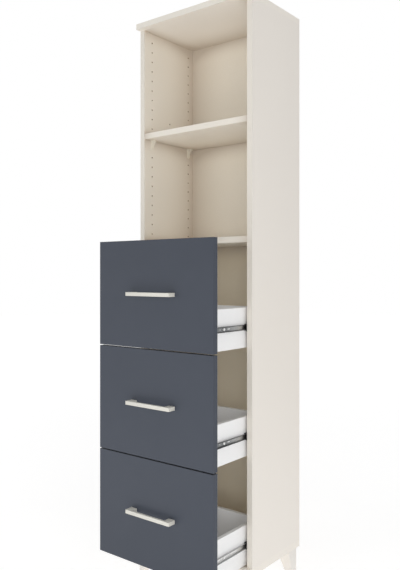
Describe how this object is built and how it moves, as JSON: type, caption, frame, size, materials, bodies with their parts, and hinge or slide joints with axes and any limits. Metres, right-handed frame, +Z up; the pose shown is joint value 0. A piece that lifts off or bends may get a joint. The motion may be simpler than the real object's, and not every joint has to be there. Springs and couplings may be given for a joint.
{
  "type": "storage cabinet",
  "caption": "Tall free-standing storage cabinet on tapered legs, with open shelf space above a stack of deep drawers on ball-bearing runners.",
  "frame": {"origin": "on the floor, midway across the cabinet and midway between its rear edge and the handles of the open drawers", "axes": "+Z up, +X to the right as seen from the front, +Y to the back; the drawers open towards -Y"},
  "size_m": [0.45, 0.476, 1.82],
  "materials": {
    "carcass_board": "smooth matt melamine, cashmere cream, on 18 mm board, 22 mm for the bottom panel",
    "back_board": "smooth matt melamine, cashmere cream, on 8 mm board",
    "leg_lacquer": "satin cream lacquer on solid wood",
    "front_lacquer": "fine matt slate grey lacquer on 18 mm board, light melamine on the back face",
    "box_board": "smooth white foil on 12 mm board",
    "support_plastic": "cream moulded plastic",
    "end_plastic": "black moulded plastic",
    "glide_plastic": "black moulded plastic, slightly worn",
    "handle_metal": "satin brushed light nickel finish",
    "rail_steel": "dull zinc plated sheet",
    "screw_steel": "bright zinc plated",
    "ball_steel": "polished bearing steel",
    "dowel_wood": "raw beech"
  },
  "bodies": {
    "carcass": {"side_left": "carcass_board", "side_right": "carcass_board", "top_panel": "carcass_board", "bottom_panel": "carcass_board", "back_panel": "back_board", "fixed_shelf": "carcass_board", "adjustable_shelf": "carcass_board", "shelf_supports": "support_plastic", "carcass_dowels": "dowel_wood", "leg_front_left": "leg_lacquer", "leg_front_right": "leg_lacquer", "leg_rear_left": "leg_lacquer", "leg_rear_right": "leg_lacquer", "leg_bolts": "screw_steel", "leg_glides": "glide_plastic", "rail_end_pieces": "end_plastic", "cabinet_rail_screws": "screw_steel", "bottom_cabinet_rails": "rail_steel", "middle_cabinet_rails": "rail_steel", "top_cabinet_rails": "rail_steel"},
    "bottom_drawer": {"bottom_drawer_front": "front_lacquer", "bottom_drawer_handle": "handle_metal", "bottom_handle_screws": "screw_steel", "bottom_box_front": "box_board", "bottom_box_left": "box_board", "bottom_box_right": "box_board", "bottom_box_back": "box_board", "bottom_box_floor": "box_board", "bottom_front_screws": "screw_steel", "bottom_box_rails": "rail_steel", "bottom_rail_screws": "screw_steel"},
    "bottom_cages": {"bottom_ball_cages": "rail_steel", "bottom_cage_balls": "ball_steel"},
    "middle_drawer": {"middle_drawer_front": "front_lacquer", "middle_drawer_handle": "handle_metal", "middle_handle_screws": "screw_steel", "middle_box_front": "box_board", "middle_box_left": "box_board", "middle_box_right": "box_board", "middle_box_back": "box_board", "middle_box_floor": "box_board", "middle_front_screws": "screw_steel", "middle_box_rails": "rail_steel", "middle_rail_screws": "screw_steel"},
    "middle_cages": {"middle_ball_cages": "rail_steel", "middle_cage_balls": "ball_steel"},
    "top_drawer": {"top_drawer_front": "front_lacquer", "top_drawer_handle": "handle_metal", "top_handle_screws": "screw_steel", "top_box_front": "box_board", "top_box_left": "box_board", "top_box_right": "box_board", "top_box_back": "box_board", "top_box_floor": "box_board", "top_front_screws": "screw_steel", "top_box_rails": "rail_steel", "top_rail_screws": "screw_steel"},
    "top_cages": {"top_ball_cages": "rail_steel", "top_cage_balls": "ball_steel"}
  },
  "joints": [
    {"name": "bottom_drawer_slide", "type": "slide", "parent": "carcass", "child": "bottom_drawer", "axis": [0, -1, 0], "range_m": [-0.16, 0.012]},
    {"name": "bottom_cages_slide", "type": "slide", "parent": "carcass", "child": "bottom_cages", "axis": [0, -1, 0], "range_m": [-0.08, 0.006]},
    {"name": "middle_drawer_slide", "type": "slide", "parent": "carcass", "child": "middle_drawer", "axis": [0, -1, 0], "range_m": [-0.16, 0.012]},
    {"name": "middle_cages_slide", "type": "slide", "parent": "carcass", "child": "middle_cages", "axis": [0, -1, 0], "range_m": [-0.08, 0.006]},
    {"name": "top_drawer_slide", "type": "slide", "parent": "carcass", "child": "top_drawer", "axis": [0, -1, 0], "range_m": [-0.16, 0.012]},
    {"name": "top_cages_slide", "type": "slide", "parent": "carcass", "child": "top_cages", "axis": [0, -1, 0], "range_m": [-0.08, 0.006]}
  ],
  "couplings": [
    {"joint": "bottom_cages_slide", "follows": "bottom_drawer_slide", "ratio": 0.5},
    {"joint": "middle_cages_slide", "follows": "middle_drawer_slide", "ratio": 0.5},
    {"joint": "top_cages_slide", "follows": "top_drawer_slide", "ratio": 0.5}
  ]
}
